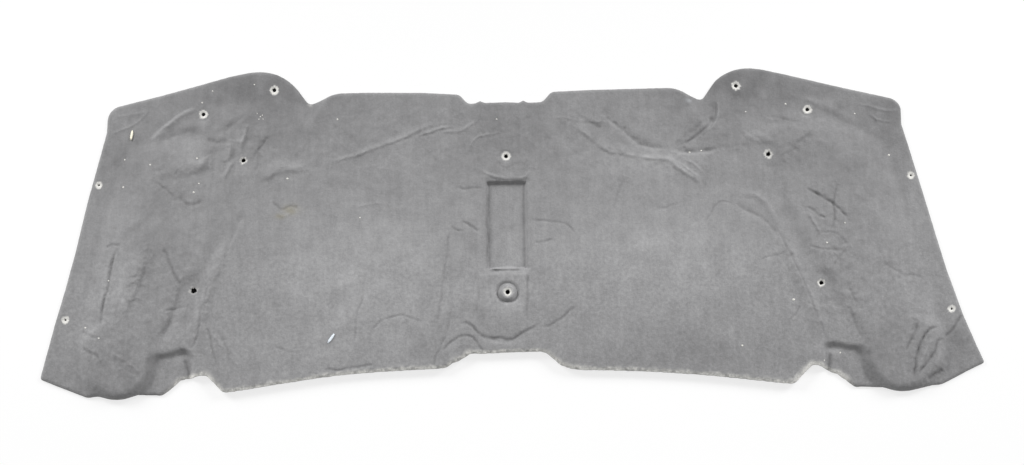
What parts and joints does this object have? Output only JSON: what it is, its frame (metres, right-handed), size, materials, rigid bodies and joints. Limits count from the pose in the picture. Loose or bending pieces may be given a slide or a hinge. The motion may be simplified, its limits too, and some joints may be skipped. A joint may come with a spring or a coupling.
{
  "type": "hood insulation pad",
  "caption": "Moulded felt sound-insulation pad for a car hood, with pressed flange, lofted wings, central recess and clip holes.",
  "frame": {"origin": "centre of the pad's box in plan, on the flat back that it lies on", "axes": "+X across the pad, +Y towards its narrow edge (the hood's nose), +Z out of the moulded engine side"},
  "size_m": [1.3458, 0.4834, 0.0159],
  "materials": {
    "felt_facing": "matte grey nonwoven facing over fibre felt"
  },
  "bodies": {
    "root": {"insulation_pad": "felt_facing"}
  },
  "joints": []
}
